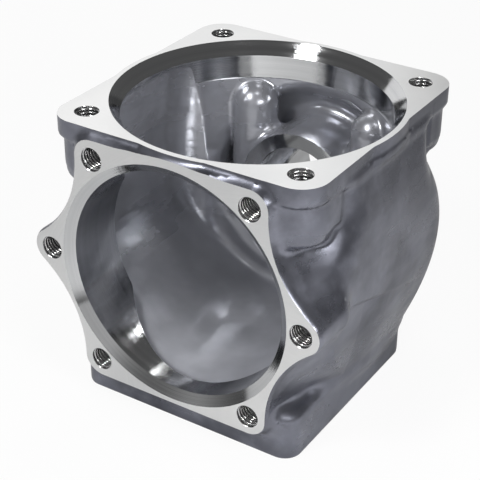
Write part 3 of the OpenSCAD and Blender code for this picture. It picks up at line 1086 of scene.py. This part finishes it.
# %% [markdown]
# ## The drilled walls, and the block in its finishes
#
# A drill tears a little, so its walls and the threads are streaked. Then the
# block gets all six materials, one for each kind of face, and rides on the body
# of its node.

# %% The drilled walls, and the block dressed
DRILLED_SHADES = (0.40, 0.40, 0.41), (0.70, 0.70, 0.70)


def drilled_wall(place):
    streaks = place.noise(900, 2, 0.5)
    return DRILLED_SHADES, streaks, 0.16 + 0.1 * streaks, [(streaks, 0.1, 0.0001)]


drilled = finish_named("drilled_wall", drilled_wall)
block.data.materials.clear()
for each in (cast, milled, turned_up, turned_along, drilled, cored):
    block.data.materials.append(each)
block.data.polygons.foreach_set("material_index", finish.astype(np.int32))
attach(block, "root")
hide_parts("block")
print(block.name, "wears", len(block.data.materials), "finishes")

# %% [markdown]
# ## Threads in the ten holes
#
# Each set starts as one point for each hole, and the thread tree puts a thread
# on each point, leaning into the metal. The ridge bites a hair into the wall.

# %% Put the threads in
THREAD_CREST, THREAD_PITCH = 4.25, 1.5
THREAD_START, THREAD_BITE, THREAD_SHORT = 1.2, 0.02, 3

keys = {s.name: s.identifier for s in tree.interface.items_tree if s.in_out == "INPUT"}
for name, holes, depth, axis, inward, lean in (
    ("threads_top", top_bolts, TOP_HOLE_DEPTH, 2, -1, (math.pi, 0, 0)),
    ("threads_front", front_bolts, FRONT_HOLE_DEPTH, 1, 1, (-math.pi / 2, 0, 0)),
):
    starts = np.array(holes, float)
    starts[:, axis] += THREAD_START * inward
    threads = new_object(name, starts, [])
    step = threads.modifiers.new("thread", "NODES")
    step.node_group = tree
    for key, value in {
        "Root radius": (THREAD_ROOT + THREAD_BITE) / 1000,
        "Ridge height": (THREAD_ROOT - THREAD_CREST) / 1000,
        "Pitch": THREAD_PITCH / 1000,
        "Turns": (depth - THREAD_SHORT) / THREAD_PITCH,
        "Lean": lean, "Finish": drilled,
    }.items():
        step[keys[key]] = value
    apply_modifiers(threads)
    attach(threads, "root")
    print(name, len(threads.data.polygons), "faces")

# %% [markdown]
# ## The floor
#
# The photograph shows the block on plain white. The floor is pale paper that
# throws light back into the lower forms. The camera sees it nearly as white as
# the page, and what mirrors it sees a little of that glow, so a Light Path node
# tells the rays apart. A white world alone would leave the block floating.

# %% The floor
FLOOR_REACH, PAPER_SHADE, SEEN_GLOW, MIRRORED_GLOW = 6000.0, 0.75, 0.92, 0.04

corners = FLOOR_REACH * np.array([(-1, -1, 0), (1, -1, 0), (1, 1, 0), (-1, 1, 0)])
floor = new_object("floor", corners, [(0, 1, 2, 3)])
paper = bpy.data.materials.new("floor_paper")
paper_tree, sheet = nodes_of(paper, "BSDF_PRINCIPLED")
sheet.inputs["Base Color"].default_value = (PAPER_SHADE, PAPER_SHADE, PAPER_SHADE, 1)
sheet.inputs["Roughness"].default_value = 0.9
rays = paper_tree.nodes.new("ShaderNodeLightPath").outputs
seen, glossy, through = (
    Wire(paper_tree, rays[f"Is {kind} Ray"]) for kind in ("Camera", "Glossy", "Transmission")
)
mirrored = seen.math("MAXIMUM", glossy, through)
share = seen.math("MAXIMUM", seen * SEEN_GLOW, mirrored * MIRRORED_GLOW)
glow = seen.node("ShaderNodeEmission", {}, {"Color": (1, 1, 1, 1), "Strength": 1.0})
mixed = seen.node("ShaderNodeMixShader", {}, {
    0: share, 1: Wire(paper_tree, sheet.outputs[0]), 2: glow,
})
paper_tree.links.new(mixed.socket, paper_tree.get_output_node("ALL").inputs["Surface"])
floor.data.materials.append(paper)
print("floor:", 2 * FLOOR_REACH / 1000, "m wide")

# %% [markdown]
# ## The world
#
# Metal only looks like metal when it has something to mirror. The world is a dim
# white all round, so the shadows stay deep, and brighter in front, from the
# horizon to half-way up, where the photograph's front face finds its light.

# %% The world
DIM, FRONT_GLOW = 0.12, 0.45

world = bpy.data.worlds.new("studio")
bpy.context.scene.world = world
world_tree, back = nodes_of(world, "BACKGROUND")
sky = Wire(world_tree, world_tree.nodes.new("ShaderNodeTexCoord").outputs["Generated"])
in_front = sky.part(1).between(-0.35, -0.85) * sky.part(2).between(0.6, 0.35)
back.inputs["Color"].default_value = (1, 1, 1, 1)
world_tree.links.new((DIM + FRONT_GLOW * in_front).socket, back.inputs["Strength"])
print("world:", DIM, "all round and", round(DIM + FRONT_GLOW, 2), "in front")

# %% [markdown]
# ## Lights
#
# Five area lamps light the block. The strongest hangs high in front, to the
# left. Two more hang over the block, a small one lights the right side from near
# by, and a wide one at the left rear shows the rims. Suns would be too hard.


# %% Lights
def soft_light(name, place, size, power, look_at=(0, 0, 0.07)):
    data = bpy.data.lights.new(name, "AREA")
    data.shape, data.size, data.size_y, data.energy = "RECTANGLE", size[0], size[1], power
    lamp = into_scene(name, data)
    lamp.location = place
    lamp.rotation_euler = (Vector(look_at) - Vector(place)).to_track_quat("-Z", "Y").to_euler()
    print(name, power, "W")


soft_light("front_light", (-0.2, -0.62, 0.75), (0.2, 0.2), 4.5)
soft_light("top_light", (0.25, -0.18, 0.9), (0.15, 0.15), 0.8)
soft_light("high_light", (-0.3, 0.45, 0.85), (0.45, 0.1), 1.6)
soft_light("side_light", (0.3, -0.16, 0.24), (0.14, 0.14), 0.9, (0.2, -0.08, 0))
soft_light("back_light", (-0.73, 0.61, 0.48), (1.1, 0.9), 3)

# %% [markdown]
# ## The camera
#
# The camera stands where the photograph was taken: above the front right corner,
# rolled by a hair. Its place was solved from the two hole patterns, the only
# known shapes. Set by eye, it would be a few pixels out.

# %% Camera at the photograph's place
CAMERA_PLACE, TURN, TILT, ROLL = (0.26955, -0.4372, 0.3629), 32.427, 30.437, 0.38
SENSOR, FOCAL_PIXELS, PHOTO_PIXELS = 36, 1358.7, 480

turn, tilt, roll = (math.radians(a) for a in (TURN, TILT, ROLL))
backward = Vector((
    math.sin(turn) * math.cos(tilt), -math.cos(turn) * math.cos(tilt), math.sin(tilt),
))
level = Vector((math.cos(turn), math.sin(turn), 0))
upward = backward.cross(level)
right = level * math.cos(roll) + upward * math.sin(roll)
upward = backward.cross(right)
camera_data = bpy.data.cameras.new("camera")
camera_data.sensor_width, camera_data.lens = SENSOR, SENSOR * FOCAL_PIXELS / PHOTO_PIXELS
camera = into_scene("camera", camera_data)
facing = Matrix((right, upward, backward)).transposed().to_4x4()
camera.matrix_world = Matrix.Translation(CAMERA_PLACE) @ facing
bpy.context.scene.camera = camera
bpy.context.scene.view_settings.view_transform = "Standard"
print("lens:", round(camera_data.lens, 1), "mm")

# %% [markdown]
